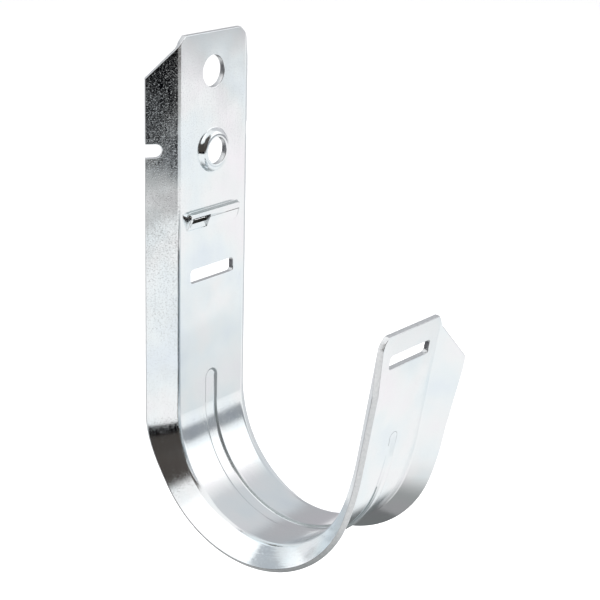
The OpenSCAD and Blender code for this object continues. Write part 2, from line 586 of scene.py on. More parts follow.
@dataclass(frozen=True)
class CropPlane:
    """Plane that crops a run's fold and flange, in the run's frame."""

    at: Vector
    normal: Vector

    @classmethod
    def of(cls, s: Strip, run: Run) -> "CropPlane":
        """Works out the plane that leaves the right slope on both the web and the flange.

        Args:
            s: The strip's sizes.
            run: The run that is cropped.

        Returns:
            The plane.
        """
        tan = math.tan(math.radians(run.crop.slope))
        half_fold = math.radians(s.flange_angle / 2)
        tilt = math.atan(tan / math.cos(half_fold))
        normal = Vector((-math.sin(tilt) * math.sin(half_fold), math.sin(tilt) * math.cos(half_fold),
                         math.cos(tilt)))
        return cls(Vector((0, s.half, run.height - run.crop.length * tan)), normal)

    def above(self, x: float, y: float) -> Vector:
        """The plane's point above a place of the section."""
        slide = self.normal[0] * (x - self.at[0]) + self.normal[1] * (y - self.at[1])
        return Vector((x, y, self.at[2] - slide / self.normal[2]))


# ---------------------------------------------------------------- holes and pressed forms


@dataclass
class Form:
    """A hole or a pressed form, with its bench and its centre on the cable side in millimetres.

    The lean is the turn of its run from upright, in radians. The collar is the ring of sheet round
    its edge that keeps the softened edge even.
    """

    bench: Bench
    centre: Vector
    lean: float = 0.0
    collar: float = 0.35

    def outline(self) -> None:
        """Adds the outline that the web is filled up to, with what rises from it."""

    def draw_rim(self) -> None:
        """Draws a plain hole's edge in from its collar."""


@dataclass
class PlainHole(Form):
    """A hole that goes straight through the sheet, by half its size across and along the strip."""

    REACH: ClassVar[float] = 0.5

    def half_size(self) -> Point:
        """Half the hole's size, across and along the strip."""
        raise NotImplementedError

    def draw_rim(self) -> None:
        """Draws the hole's edge in from its collar."""
        across, along = self.half_size()
        reach = across + self.collar + self.REACH
        self.bench.pick_edges(lambda co: (co / MM - self.centre).length < reach)
        self.bench.draw_in(across / (across + self.collar), along / (along + self.collar), self.centre,
                           self.lean)


@dataclass
class RoundHole(PlainHole):
    """Plain round hole, in millimetres."""

    radius: float = 3.75
    points: int = 72

    def half_size(self) -> Point:
        """The radius, both ways."""
        return self.radius, self.radius

    def outline(self) -> None:
        """Adds the outline of the collar."""
        self.bench.add_circle(self.radius + self.collar, self.points, self.centre)


@dataclass
class TieSlot(PlainHole):
    """Slot with round corners, in millimetres."""

    length: float = 15.4
    width: float = 3.4
    corner: float = 0.9
    segments: int = 8

    def half_size(self) -> Point:
        """Half the length and half the width."""
        return self.length / 2, self.width / 2

    def outline(self) -> None:
        """Adds the outline of the collar."""
        b = self.bench
        b.add_plane(self.length / 2 + self.collar, self.width / 2 + self.collar)
        b.round_corners(self.corner + self.collar / 2, self.segments)
        b.keep_outline()
        b.turn(self.lean)
        b.move(self.centre * MM)


@dataclass
class RaisedHole(Form):
    """Hole with a raised rim, drawn up from the sheet in a round wall, in millimetres."""

    radius: float = 3.2
    foot: float = 5.4
    crest: float = 0.4
    rise: float = 1.3
    sheet: float = 1.4
    rings: int = 12
    points: int = 72

    def outline(self) -> None:
        """Adds the foot's circle and draws its wall up and in to the hole's edge."""
        b = self.bench
        wall = Ramp(self.foot - self.radius - self.crest, self.rise, self.sheet)
        b.add_circle(self.foot, self.points, self.centre)
        radius, height = self.foot, 0.0
        rings = [(self.foot - wall.inset(h), h) for h in ring_heights(self.rise, self.rings)]
        for r, h in [*rings, (self.radius, self.rise)]:
            b.extrude(Vector(((h - height) * MM, 0, 0)))
            b.scale(r / radius, r / radius, self.centre * MM)
            radius, height = r, h


@dataclass
class TieBridge(Form):
    """Long raised bridge: steep above and at its left, sloping below, with a window over a sunk shelf.

    The corners are the sizes of the foot's rounds, from the lower left one upwards.
    """

    SIDES: ClassVar[tuple[Point, ...]] = ((-1, -1), (-1, 1), (1, 1), (1, -1))
    CORNER_STEPS: ClassVar[int] = 6
    NEAR_CREST: ClassVar[float] = 0.05

    length: float = 18.8
    width: float = 4.4
    rise: float = 1.4
    foot_r: float = 0.12
    crest_r: float = 0.22
    lower_run: float = 2.75
    right_run: float = 1.1
    corners: tuple[float, float, float, float] = (0.4, 1.6, 1.0, 1.0)
    window_end: float = -2.1
    right_cut: float = 0.2
    strap_lift: float = 0.5
    shelf: float = 1.4
    shelf_round: float = 0.05
    sink: float = 0.2
    back_run: float = 0.6
    back_rise: float = 0.6
    # Limits of the painted shadow line below the crest, as shares of the rise and of the length
    shade_above: float = 0.93
    shade_right: float = 0.45
    # Band of the steep upper wall that gets grey painted shade
    shade_wall_w: float = 0.25
    shade_wall_foot: float = 0.1
    shade_wall_above: float = 0.97
    rings: int = 14

    def outline(self) -> None:
        """Adds the bridge's foot, draws its walls up to the crest and opens the window."""
        b = self.bench
        long, wide = self.length / 2 + self.collar, self.width / 2 + self.collar
        grow = 2 * long / self.length
        b.add_plane(long, wide)
        for (y, z), size in zip(self.SIDES, self.corners):
            b.pick_at(Vector((0, y * long, z * wide)) * MM)
            b.round_corners(size * grow, self.CORNER_STEPS)
        b.keep_outline()
        for y in (self.window_end, (self.window_end - self.length / 2) / 2, self.length * self.right_cut):
            bpy.ops.mesh.select_all(action="SELECT")
            bpy.ops.mesh.bisect(plane_co=(0, y * grow * MM, 0), plane_no=WIDTH)
        bpy.ops.mesh.select_all(action="SELECT")
        b.move(self.centre * MM)
        b.draw_in(1 / grow, self.width / 2 / wide, self.centre)
        self.raise_walls()
        self.open_window()
        self.dress()

    def box(self, height: float) -> tuple[float, float, float, float]:
        """Limits of the bridge at a height.

        Args:
            height: Height above the sheet.

        Returns:
            Its left, right, bottom and top, from its centre.
        """
        steep = SteepWall(self.foot_r, self.crest_r, self.rise).inset(height)
        lower = Slope(self.lower_run, self.rise).inset(height)
        right = Slope(self.right_run, self.rise).inset(height)
        return (-self.length / 2 + steep, self.length / 2 - right,
                -self.width / 2 + lower, self.width / 2 - steep)

    def at_foot(self, co: Vector) -> float:
        """Where a point of the walls comes from along the foot."""
        left, right, _, _ = self.box(min(self.rise, max(0.0, co.x / MM)))
        return (co.y / MM - left) / (right - left) * self.length - self.length / 2

    def raise_walls(self) -> None:
        """Draws the rings from the foot to the crest and closes the crest."""
        b = self.bench
        was, level = self.box(0.0), 0.0
        for h in ring_heights(self.rise, self.rings):
            now = self.box(h)
            b.extrude(Vector(((h - level) * MM, 0, 0)))
            b.scale((now[1] - now[0]) / (was[1] - was[0]), (now[3] - now[2]) / (was[3] - was[2]),
                    (self.centre + Vector((0, was[0], was[2]))) * MM)
            b.move(Vector((0, now[0] - was[0], now[2] - was[2])) * MM)
            was, level = now, h
        bpy.ops.mesh.edge_face_add()

    def open_window(self) -> None:
        """Takes out the lower wall at the left, lifts the strap's edge and adds the sunk shelf."""
        b = self.bench
        crest = -self.width / 2 + self.lower_run
        left = -self.length / 2 + self.corners[0]
        foot = self.centre - Vector((0, 0, self.width / 2))

        def in_window(face: bmesh.types.BMFace) -> bool:
            """Whether a face belongs to the lower wall over the window.

            Args:
                face: A face of the bridge.

            Returns:
                Whether it is taken out.
            """
            middle = face.calc_center_median() / MM
            return (middle.z - self.centre.z < crest - SLACK and SKIN < middle.x < self.rise - SKIN
                    and all(left - 2 * SLACK < self.at_foot(v.co) < self.window_end + 2 * SLACK
                            for v in face.verts))

        def on_strap(co: Vector) -> bool:
            """Whether a point lies on the strap's edge over the window."""
            return (co.x / MM > self.rise - SLACK and self.at_foot(co) < self.window_end - 2 * SLACK
                    and abs(co.z / MM - self.centre.z - crest) < self.NEAR_CREST)

        def on_foot(co: Vector) -> bool:
            """Whether a point lies on the foot's lower line under the window."""
            place = co / MM - foot
            return (abs(place.x) + abs(place.z) < SLACK / 2
                    and left - SLACK < place.y < self.window_end + SLACK)

        b.pick_faces(in_window)
        bpy.ops.mesh.delete(type="FACE")
        b.pick(on_strap)
        b.move(Vector((0, 0, self.strap_lift * MM)))
        b.pick(on_foot)
        b.extrude(Vector((-self.sink, 0, self.shelf_round)) * MM)
        b.extrude(Vector((0, 0, self.shelf - self.shelf_round)) * MM)
        # The row behind the shelf: a sheet in the recess that is painted near black as shade
        b.extrude(Vector((-self.back_run, 0, self.back_rise)) * MM)

    def dress(self) -> None:
        """Gives the line below the crest and the row behind the shelf near-black painted shade, and the
        steep wall grey painted shade.
        """
        crest = -self.width / 2 + self.lower_run

        def torn_or_shaded(face: bmesh.types.BMFace) -> bool:
            """Whether a face lies on the painted shadow line below the crest, or behind the shelf in the
            recess that is painted as shade.

            Args:
                face: A face of the sheet.

            Returns:
                Whether it gets the near-black painted shade.
            """
            place = face.calc_center_median() / MM - self.centre
            on_line = (place.x > self.rise * self.shade_above and place.z < crest
                       and self.window_end < place.y < self.length * self.shade_right)
            return on_line and len(face.verts) <= 4 or place.x < -self.sink - SLACK

        def shaded_wall(face: bmesh.types.BMFace) -> bool:
            """Whether a face lies on the steep upper wall, which gets grey painted shade."""
            place = face.calc_center_median() / MM - self.centre
            return (place.z > self.width / 2 - self.shade_wall_w
                    and self.shade_wall_foot < place.x < self.rise * self.shade_wall_above)

        # Painted shade: near black below the crest and behind the shelf, grey on the steep upper wall
        self.bench.dress(Finish.TORN, torn_or_shaded)
        self.bench.dress(Finish.CREASE, shaded_wall)


# ---------------------------------------------------------------- the strip


class StripMaker:
    """Models the cable side of the strip as one open sheet."""

    LOOP_ROWS = 108
    LEAD_ROWS = 8
    END_ROWS = 36
    NEAR_FLANGE = 8.0  # No point of a run's flanges lies further from its web's plane
    NEAR_SHEET = 3.0  # No point of a run's web, folds or forms lies further from that plane
    OUTER = 2.0  # Only the flange's free edge lies further out from the fold line

    def __init__(self, sizes: Strip, finishes: Sequence[bpy.types.Material]) -> None:
        """Puts the first point on the bench.

        Args:
            sizes: The strip's sizes.
            finishes: The strip's finishes, in the order of Finish.
        """
        self.s = sizes
        self.plate, self.lip = sizes.plate(), sizes.lip()
        self.bench = Bench("strip")
        for finish in finishes:
            self.bench.piece.data.materials.append(finish)

    def roll(self) -> None:
        """Draws half of the section at the loop's start and sweeps it to the lip's foot."""
        s, b = self.s, self.bench
        places = [Vector((x, y, s.loop_z)) * MM for x, y in s.section(s.loop_flange)]
        b.move(places[0])
        b.draw(places)
        bpy.ops.mesh.select_all(action="SELECT")
        first = math.radians(s.loop_turn)
        b.spin(s.loop_centre * MM, WIDTH, -first, self.LOOP_ROWS)
        lead_centre = s.loop_centre + inward(first) * (s.lead_r - s.loop_r)
        b.spin(lead_centre * MM, WIDTH, -math.radians(s.lead_turn), self.LEAD_ROWS)
        self.widen_start()

    def widen_start(self) -> None:
        """Draws the flange's free edge out where the loop starts, to its width on the plate."""
        s, b = self.s, self.bench
        x, y = s.flange_point(s.loop_flange)
        far_x, far_y = s.flange_point(s.plate_flange)
        b.pick(lambda co: abs(co.y / MM - y) < SLACK)
        bpy.ops.mesh.hide(unselected=True)
        b.pick_at(Vector((x, y, s.loop_z)) * MM)
        bpy.ops.transform.translate(value=Vector((far_x - x, far_y - y, 0)) * MM,
                                    use_proportional_edit=True, proportional_edit_falloff="SMOOTH",
                                    proportional_size=s.loop_taper * MM)
        bpy.ops.mesh.reveal(select=False)

    def rise(self, run: Run) -> None:
        """Raises half of a straight run: the bead's straight part, the fold and both outlines.

        Args:
            run: The run.
        """
        s, b = self.s, self.bench
        straight = s.bead_end(run)
        fold_x, fold_y = s.section(run.flanges[1])[-2]
        plane = CropPlane.of(s, run)

        def at_level(co: Vector, level: float, inner: float = 0.0) -> bool:
            """Whether a point of the run lies at a height, and no nearer to the middle than a limit."""
            x, y, z = run.back @ co
            return abs(z - level) < SLACK and y > inner - SLACK and abs(x) < self.NEAR_FLANGE

        def on_fold(co: Vector) -> bool:
            """Whether a point lies on the fold above the bead's straight part."""
            x, y, z = run.back @ co
            return (z > straight - SLACK and s.flat - SLACK < y < fold_y + SLACK
                    and abs(x) < self.NEAR_SHEET)

        b.pick(lambda co: at_level(co, 0))
        b.extrude(run.step((0, 0, straight)))
        b.pick(lambda co: at_level(co, straight, s.half + self.OUTER))
        low, high = (s.flange_point(run.flange_at(v)) for v in (0, straight))
        b.move(run.step((high[0] - low[0], high[1] - low[1], 0)))
        b.pick(lambda co: at_level(co, straight, s.flat) and co.y / MM < fold_y + SLACK)
        b.extrude(run.step((0, 0, run.height - straight)))
        b.pick(on_fold)
        bpy.ops.mesh.bisect(plane_co=run.frame @ plane.at, plane_no=run.step(plane.normal).normalized(),
                            clear_outer=True)
        self.outline_flange(run, plane, plane.above(fold_x, fold_y))
        path = (plane.above(0, s.flat), (0, s.half - run.crop.length, run.height), (0, 0, run.height))
        b.draw([run.frame @ Vector(p) for p in path])

    def outline_flange(self, run: Run, plane: CropPlane, top: Vector) -> None:
        """Draws a flange's free edge, with its taper, its notch and its crop, and fills the flange.

        Args:
            run: The flange's run.
            plane: The plane that crops it.
            top: Where the cropped edge meets the fold, in the run's frame.
        """
        s, b = self.s, self.bench
        straight, full = s.bead_end(run), run.flanges[1]
        edge = [(run.flange_at(straight), straight), (full, s.taper)]
        if run.notch:
            edge += run.notch.outline(s)
        path = [Vector((*s.flange_point(w), v)) for w, v in edge]
        path += [plane.above(*s.flange_point(full)), top]
        b.draw([run.frame @ p for p in path])
        b.weld()

        def round_flange(co: Vector) -> bool:
            """Whether a point lies on the flange's outline."""
            x, y, z = run.back @ co
            return -self.NEAR_FLANGE < x < top.x + SLACK and z > straight - SLACK and y > s.half

        b.pick_edges(round_flange)
        bpy.ops.mesh.edge_face_add()
        b.points()

    def mirror(self) -> None:
        """Copies the half strip to the other side and welds the middle."""
        self.bench.close()
        self.bench.modify("MIRROR", use_axis=(False, True, False), merge_threshold=Bench.TINY)
        self.bench.open()

    def end_bead(self, run: Run) -> None:
        """Spins the bead's half section about its end, for the round end on a straight run.

        Args:
            run: The run.
        """
        s, b = self.s, self.bench
        level = s.bead_end(run)

        def on_bead(co: Vector) -> bool:
            """Whether a point lies on half of the bead's section at its end."""
            x, y, z = run.back @ co
            return (abs(z - level) < SLACK and x > -s.bead_rise - SLACK
                    and -SKIN / 2 < y < s.bead_w / 2 + s.bead_collar + SLACK)

        b.pick(on_bead)
        b.spin(run.frame @ Vector((0, 0, level)), WIDTH.cross(run.step((0, 0, 1))).normalized(), math.pi,
               self.END_ROWS)
        b.weld()

    def fill_web(self, run: Run) -> None:
        """Fills the flat web of a straight run between its outline and its holes.

        Args:
            run: The run.
        """
        s, b = self.s, self.bench

        def flat(co: Vector) -> bool:
            """Whether a point lies in the flat web."""
            x, y, z = run.back @ co
            return abs(x) < 2 * SKIN and abs(y) < s.flat + SLACK and z > s.bead_end(run) - SLACK

        b.pick_edges(flat)
        bpy.ops.mesh.fill(use_beauty=True)
        b.points()


class HookMaker(StripMaker):
    """Builds the whole hook: the sheet with its holes and forms, its thickness and its soft edges."""

    EDGE_SOFTNESS = 0.14
    EDGE_STEPS = 3
    SMOOTH_ANGLE = 32
    SHARP_ANGLE = 50
    FLAT = 0.9999  # Cosine of the angle within which a face counts as flat
    FACE_WEIGHT = 100
    PLATE_SPOT = -0.08  # Height, in metres, of a face of the plate that tells which way all faces look
    WALL_SHADE_SHARE = 0.75  # Share of the bead's depth that its walls with grey painted shade take
    RIDGE_SLACK = 0.02
    CAP = 0.1  # Length of the ridge's end that is pressed flat
    CAP_LEFT = 0.02  # What is left of its height there

    def __init__(self, sizes: Strip, record: dict, finishes: Sequence[bpy.types.Material]) -> None:
        """Reads where the holes are.

        Args:
            sizes: The strip's sizes.
            record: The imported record, whose mounts give the places of the holes.
            finishes: The strip's finishes, in the order of Finish.
        """
        super().__init__(sizes, finishes)
        mounts = {m["name"]: m for m in record["mounts"]}

        def on_plate(name: str) -> Vector:
            """Place of a mount on the plate's cable side, in millimetres."""
            return Vector((0, 0, mounts[name]["pos_m"][2] / MM))

        lip_slot = mounts["lip_tie_slot"]
        on_lip = Vector(lip_slot["pos_m"]) / MM - Vector(lip_slot["axis"]) * sizes.sheet / 2
        b = self.bench
        self.bridge = TieBridge(b, on_plate("tie_bridge"))
        self.forms = (RoundHole(b, on_plate("mounting_hole")), RaisedHole(b, on_plate("raised_hole")),
                      self.bridge, TieSlot(b, on_plate("plate_tie_slot")), TieSlot(b, on_lip, sizes.lean))

    def build(self) -> bpy.types.Object:
        """Models the hook.

        Returns:
            The finished piece.
        """
        b, runs = self.bench, (self.plate, self.lip)
        self.roll()
        for run in runs:
            self.rise(run)
        self.mirror()
        for run in runs:
            self.end_bead(run)
        for form in self.forms:
            b.alone(form.outline)
        for run in runs:
            self.fill_web(run)
        for form in self.forms:
            form.draw_rim()
        b.weld()
        bpy.ops.mesh.normals_make_consistent(inside=False)
        self.face_cables()
        self.shade_bead_walls()
        b.close()
        self.lay_along()
        self.thicken()
        return b.piece

    def face_cables(self) -> None:
        """Turns all faces so that they look to the cables."""
        mesh = self.bench.edit()
        mesh.normal_update()
        spot = min(mesh.faces, key=lambda face: abs(face.calc_center_median().z - self.PLATE_SPOT)
                   + abs(face.calc_center_median().x))
        if spot.normal.x < 0:
            bpy.ops.mesh.select_all(action="SELECT")
            bpy.ops.mesh.flip_normals()

    def shade_bead_walls(self) -> None:
        """Paints grey shade on the walls of the bead's groove, with a duller finish."""
        s = self.s
        loop = s.loop_centre * MM

        def depth(co: Vector) -> float:
            """Works out how deep a point lies in the bead.

            Args:
                co: Place of the point.

            Returns:
                Depth below the cable side in millimetres, or zero beyond the bead's ends.
            """
            if co.x < loop.x and co.z > loop.z:
                return -co.x / MM if co.z < (s.loop_z + s.bead_up_plate) * MM else 0.0
            out, _, up = self.lip.back @ co
            if up > 0:
                return -out if up < s.bead_up_lip else 0.0
            return math.hypot(co.x - loop.x, co.z - loop.z) / MM - s.loop_r

        def shaded_wall(face: bmesh.types.BMFace) -> bool:
            """Whether a face lies on a wall of the groove, where grey shade is painted."""
            middle = face.calc_center_median()
            return (2 * SKIN < depth(middle) < s.bead_rise * self.WALL_SHADE_SHARE
                    and abs(middle.y) < s.bead_w / 2 * MM)

        self.bench.dress(Finish.CREASE, shaded_wall)

    def lay_along(self) -> None:
        """Gives the sheet a UV map in metres: across the strip, and along it round the loop."""
        s, sheet = self.s, self.bench.piece.data
        layer = sheet.uv_layers.new(name=ALONG)
        centre = s.loop_centre * MM
        for loop in sheet.loops:
            co = sheet.vertices[loop.vertex_index].co
            up_lip = (self.lip.back @ co)[2]
            if co.z >= s.loop_z * MM and co.x < centre.x:
                reach = -co.z
            elif up_lip > 0:
                reach = (s.plate_h + s.loop_r * s.whole_turn + up_lip) * MM
            else:
                turn = math.atan2(centre.z - co.z, centre.x - co.x)
                reach = -s.loop_z * MM + s.loop_r * MM * turn
            layer.data[loop.index].uv = (co.y, reach)

    def thicken(self) -> None:
        """Gives the sheet its thickness, away from the cables, and softens the sheared edges."""
        b = self.bench
        cable_side = [v.co.copy() for v in b.piece.data.vertices]
        b.modify("SOLIDIFY", thickness=self.s.sheet * MM, offset=-1, use_even_offset=True,
                 use_quality_normals=True, material_offset_rim=Finish.SHEARED - Finish.PLATE)
        self.narrow_back(cable_side)
        self.mark_soft()
        b.modify("BEVEL", width=self.EDGE_SOFTNESS * MM, segments=self.EDGE_STEPS, limit_method="WEIGHT",
                 use_clamp_overlap=False)
        bpy.ops.object.shade_smooth_by_angle(angle=math.radians(self.SMOOTH_ANGLE))
        self.keep_flats()
        b.modify("WEIGHTED_NORMAL", mode="FACE_AREA", weight=self.FACE_WEIGHT, keep_sharp=True)

    def narrow_back(self, cable_side: Sequence[Vector]) -> None:
        """Draws the back of the bead in, so that its ridge is narrower than its groove.

        Args:
            cable_side: Places of the points of the cable side.
        """
        s, b = self.s, self.bench
        half = s.bead_w / 2 + self.RIDGE_SLACK
        ends = [(run, run.bead - half) for run in (self.plate, self.lip)]

        def height(co: Vector, run: Run) -> float:
            """Height of a point above a run's foot, or less than nothing away from the run."""
            out, _, up = run.back @ co
            return up if abs(out) < self.NEAR_SHEET else -1.0

        def in_end(co: Vector, run: Run, level: float) -> bool:
            """Whether a point lies in the bead's round end on a run."""
            up = height(co, run) - level
            return up >= 0 and math.hypot(up, co.y / MM) <= half

        on_bead = [abs(co.y) <= half * MM for co in cable_side]
        b.open()
        b.pick_behind([on and all(height(co, run) < level for run, level in ends)
                       for on, co in zip(on_bead, cable_side)])
        b.scale(s.bead_back, 1, Vector((0, 0, 0)))
        for run, level in ends:
            b.pick_behind([on and in_end(co, run, level) for on, co in zip(on_bead, cable_side)])
            centre = Matrix.Rotation(-run.lean, 4, "Y") @ (run.frame @ Vector((0, 0, level)))
            b.turn(-run.lean)
            b.scale(s.bead_back, s.bead_back, centre)
            b.turn(run.lean)
        self.fade_ridge(cable_side, half)
        b.close()

    def fade_ridge(self, cable_side: Sequence[Vector], half: float) -> None:
        """Sinks the end of the ridge into the back of the lip.

        Args:
            cable_side: Places of the points of the cable side.
            half: Half the width of the bead's points.
        """
        s, b, lip = self.s, self.bench, self.lip
        level = lip.bead - half
        ups = [(lip.back @ co)[2] for co in cable_side]
        ridge = [abs(co.y) < half * MM and co.x > s.loop_r * MM and up < level + half
                 for co, up in zip(cable_side, ups)]
        b.pick_behind(ridge)
        bpy.ops.mesh.hide(unselected=True)
        b.pick_behind(ridge)
        b.turn(-lip.lean)
        b.pick_behind([on and up > level - self.CAP for on, up in zip(ridge, ups)])
        centre = Matrix.Rotation(-lip.lean, 4, "Y") @ (lip.frame @ Vector((-s.sheet, 0, level)))
        bpy.ops.transform.resize(value=(self.CAP_LEFT, 1, 1), center_override=centre,
                                 use_proportional_edit=True, proportional_edit_falloff="SMOOTH",
                                 proportional_size=s.ridge_fade * MM)
        b.pick_behind(ridge)
        b.turn(lip.lean)
        bpy.ops.mesh.reveal(select=False)

    def mark_soft(self) -> None:
        """Marks the edges to soften: all sheared ones but the torn ones of the bridge."""
        b, bridge = self.bench, self.bridge

        def torn_or_shaded(co: Vector) -> bool:
            """Whether a point lies on the bridge or its collar."""
            return (abs(co.x) < self.NEAR_SHEET * MM and abs(co.y) / MM < bridge.length / 2 + bridge.collar
                    and abs(co.z / MM - bridge.centre.z) < bridge.width / 2 + bridge.collar)

        b.open()
        bpy.ops.mesh.select_mode(type=Kind.EDGE.name)
        bpy.ops.mesh.select_all(action="DESELECT")
        bpy.ops.mesh.edges_select_sharp(sharpness=math.radians(self.SHARP_ANGLE))
        for edge in b.edit().edges:
            if all(torn_or_shaded(v.co) for v in edge.verts):
                edge.select = False
        bmesh.update_edit_mesh(b.piece.data)
        bpy.ops.transform.edge_bevelweight(value=1)
        b.points()
        b.close()

    def keep_flats(self) -> None:
        """Marks the outlines of the flat areas, so that the rounds beside them do not shade them."""
        b = self.bench
        fold = math.radians(self.s.flange_angle)
        turns = (Matrix.Identity(3), self.lip.frame.to_3x3().normalized())
        flats = [turn @ Vector((math.cos(fold * side), math.sin(fold * side), 0))
                 for turn in turns for side in (-1, 0, 1)]
        b.open()
        b.pick_faces(lambda face: any(abs(face.normal.dot(flat)) > self.FLAT for flat in flats))
        bpy.ops.mesh.region_to_loop()
        bpy.ops.mesh.mark_sharp()
        b.points()
        b.close()


# ---------------------------------------------------------------- finishes


class Nodes:
    """Short hand for building a node tree."""

    def __init__(self, tree: bpy.types.NodeTree) -> None:
        """Keeps the tree and clears it."""
        self.tree = tree
        tree.nodes.clear()

    @classmethod
    def of_material(cls, name: str) -> tuple[bpy.types.Material, "Nodes"]:
        """Adds a material.

        Args:
            name: Name of the material.

        Returns:
            The material, and its empty node tree.
        """
        mat = bpy.data.materials.new(name)
        mat.use_nodes = True
        return mat, cls(mat.node_tree)

    def add(self, kind: str, inputs: dict | None = None, **settings: object) -> bpy.types.NodeOutputs:
        """Adds a node.

        Args:
            kind: Node type without its prefix.
            inputs: Values or output sockets for the node's inputs, by name or number.
            settings: The node's own settings.

        Returns:
            The node's outputs.
        """
        node = self.tree.nodes.new("ShaderNode" + kind)
        for name, value in settings.items():
            setattr(node, name, value)
        for name, value in (inputs or {}).items():
            if isinstance(value, bpy.types.NodeSocket):
                self.tree.links.new(value, node.inputs[name])
            else:
                node.inputs[name].default_value = value
        return node.outputs

    def math(self, operation: str, *values: object) -> bpy.types.NodeSocket:
        """Adds a Math node and returns its output."""
        return self.add("Math", dict(enumerate(values)), operation=operation)[0]

    def noise(self, vector: bpy.types.NodeSocket, scale: float, detail: float = 2.0,
              rough: float = 0.5) -> bpy.types.NodeSocket:
        """Adds a Noise node and returns its value."""
        return self.add("TexNoise", {"Vector": vector, "Scale": scale, "Detail": detail,
                                     "Roughness": rough})["Fac"]

    def spread(self, value: object, low: float, high: float, start: float = 0.0, end: float = 1.0,
               **settings: object) -> bpy.types.NodeSocket:
        """Adds a Map Range node, from low and high to start and end, and returns its output."""
        return self.add("MapRange", {"Value": value, "From Min": low, "From Max": high, "To Min": start,
                                     "To Max": end}, **settings)[0]

    def window(self, value: object, low: float, high: float, soft: float) -> bpy.types.NodeSocket:
        """Adds a mask that is one between two limits and falls off smoothly outside them.

        Args:
            value: What is masked.
            low: The lower limit.
            high: The upper limit.
            soft: Width of the fall beyond each limit.

        Returns:
            The mask.
        """
        up = self.spread(value, low - soft, low, interpolation_type="SMOOTHSTEP")
        down = self.spread(value, high, high + soft, 1.0, 0.0, interpolation_type="SMOOTHSTEP")
        return self.math("MULTIPLY", up, down)

    def ramp(self, value: bpy.types.NodeSocket, stops: Stops) -> bpy.types.NodeSocket:
        """Adds a colour ramp.

        Args:
            value: What picks the colour.
            stops: The ramp's places, each with its colour.

        Returns:
            The colour.
        """
        colour = self.add("ValToRGB", {"Fac": value})["Color"]
        band = colour.node.color_ramp
        for i, (place, tint) in enumerate(stops):
            stop = band.elements[i] if i < 2 else band.elements.new(place)
            stop.position = place
            stop.color = (*tint, 1.0)
        return colour

    def bump(self, height: bpy.types.NodeSocket, strength: float, distance: float,
             over: bpy.types.NodeSocket | None = None) -> bpy.types.NodeSocket:
        """Adds a Bump node, over the bumps of another where one is given, and returns its normal."""
        inputs = {"Height": height, "Strength": strength, "Distance": distance}
        return self.add("Bump", inputs | ({"Normal": over} if over else {}))[0]

    def surface(self, shader: str, inputs: dict) -> None:
        """Adds a shader and the output that shows it."""
        self.add("OutputMaterial", {"Surface": self.add(shader, inputs)[0]})


@dataclass(frozen=True)
class ZincPlate:
    """Bright zinc plate with a clear blue passivation: fine grain, faint streaks and faint tints.

    The shares are those of the clouds, the streaks and the grain in the roughness. The wave, the drag
    and the fine grain are bumps, each by its strength and its distance in metres.
    """

    name: str = "bright_zinc"
    tints: Stops = ((0.30, (0.79, 0.85, 0.90)), (0.45, (0.84, 0.89, 0.91)), (0.55, (0.88, 0.90, 0.91)),
                    (0.72, (0.90, 0.88, 0.91)))
    smooth: float = 0.05
    dull: float = 0.21
    tint_scale: float = 55.0
    cloud_scale: float = 160.0
    grain_scale: float = 2900.0
    wave_scale: float = 70.0
    streaks: Triple = (2600.0, 60.0, 1.0)
    shares: Triple = (0.35, 0.20, 0.45)
    rough_span: Pair = (0.38, 0.66)
    spot_span: Pair = (0.58, 0.86)
    wave: Pair = (0.12, 0.0012)
    drag: Pair = (0.05, 0.0002)
    fine: Pair = (0.10, 0.0001)

    def material(self) -> bpy.types.Material:
        """Builds the material.

        Returns:
            The material, which reads Object coordinates and the strip's own UV map.
        """
        mat, n = Nodes.of_material(self.name)
        place = n.add("TexCoord")["Object"]
        along = n.add("UVMap", uv_map=ALONG)["UV"]
        streaks = n.add("Mapping", {"Vector": along, "Scale": self.streaks})["Vector"]
        tint = n.ramp(n.noise(place, self.tint_scale, 3.0), self.tints)
        cloud = n.noise(place, self.cloud_scale, 3.0, 0.6)
        grain = n.noise(place, self.grain_scale, 2.0, 0.7)
        lines = n.noise(streaks, 1.0, 2.0, 0.6)
        parts = [n.math("MULTIPLY", part, share) for part, share in zip((cloud, lines, grain), self.shares)]
        mixed = n.math("ADD", n.math("ADD", parts[0], parts[1]), parts[2])
        rough = n.spread(mixed, *self.rough_span, self.smooth, self.dull)
        wave = n.bump(n.noise(place, self.wave_scale, 1.0), *self.wave)
        drag = n.bump(lines, *self.drag, wave)
        fine = n.bump(n.spread(grain, *self.spot_span), *self.fine, drag)
        n.surface("BsdfPrincipled", {"Base Color": tint, "Metallic": 1.0, "Roughness": rough,
                                     "Normal": fine})
        return mat


@dataclass(frozen=True)
class WallShade(ZincPlate):
    """Zinc plate with grey painted shade, for the walls of the bead's groove and the bridge's steep upper
    wall; also duller.
    """

    name: str = "crease"
    tints: Stops = ((0.3, (0.44, 0.50, 0.51)), (0.45, (0.48, 0.53, 0.54)), (0.55, (0.52, 0.56, 0.57)),
                    (0.72, (0.56, 0.60, 0.60)))
    smooth: float = 0.45
    dull: float = 0.6


@dataclass(frozen=True)
class ShearedEdge:
    """Plated edge where the blank was sheared: duller and marked through the sheet's thickness."""

    name: str = "sheared_edge"
    tints: Stops = ((0.3, (0.70, 0.72, 0.73)), (0.7, (0.86, 0.87, 0.88)))
    marks_scale: float = 1500.0
    rough: Pair = (0.30, 0.46)
    marks: Pair = (0.25, 0.0002)

    def material(self) -> bpy.types.Material:
        """Builds the material.

        Returns:
            The material, which reads Object coordinates.
        """
        mat, n = Nodes.of_material(self.name)
        marks = n.noise(n.add("TexCoord")["Object"], self.marks_scale, 3.0, 0.6)
        n.surface("BsdfPrincipled", {"Base Color": n.ramp(marks, self.tints), "Metallic": 1.0,
                                     "Roughness": n.spread(marks, 0.0, 1.0, *self.rough),
                                     "Normal": n.bump(marks, *self.marks)})
        return mat


